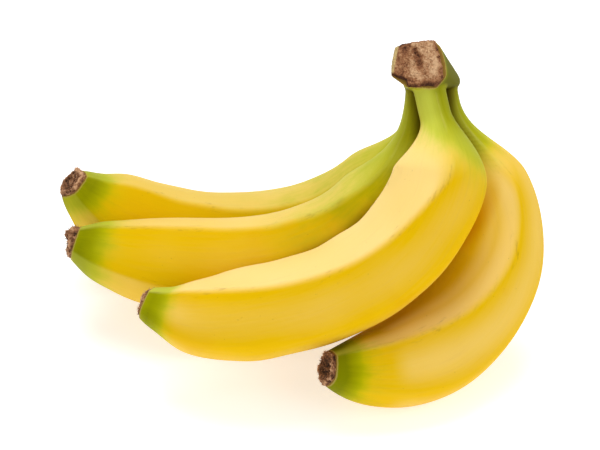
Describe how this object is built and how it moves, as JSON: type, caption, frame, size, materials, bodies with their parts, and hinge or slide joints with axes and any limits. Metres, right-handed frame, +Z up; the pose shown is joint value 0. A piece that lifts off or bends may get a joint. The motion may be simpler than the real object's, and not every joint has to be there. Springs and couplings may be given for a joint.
{
  "type": "hand of bananas",
  "caption": "Small hand of ripe yellow bananas with greenish necks and tips, joined at a cut brown crown, lying curved side down on a flat surface.",
  "frame": {"origin": "on the surface that the hand lies on, under the middle of its bounding box", "axes": "+Z up; the blossom ends point towards -X and the crown is up towards +X; the picture looks along +Y and down"},
  "size_m": [0.1894, 0.1176, 0.1216],
  "materials": {
    "banana_skin": "satin",
    "crown_cut": "matte",
    "blossom_husk": "matte"
  },
  "bodies": {
    "root": {"banana_hand": "banana_skin", "crown_cut_end": "crown_cut", "blossom_end_front": "blossom_husk", "blossom_end_right": "blossom_husk", "blossom_end_middle": "blossom_husk", "blossom_end_back": "blossom_husk"}
  },
  "joints": []
}
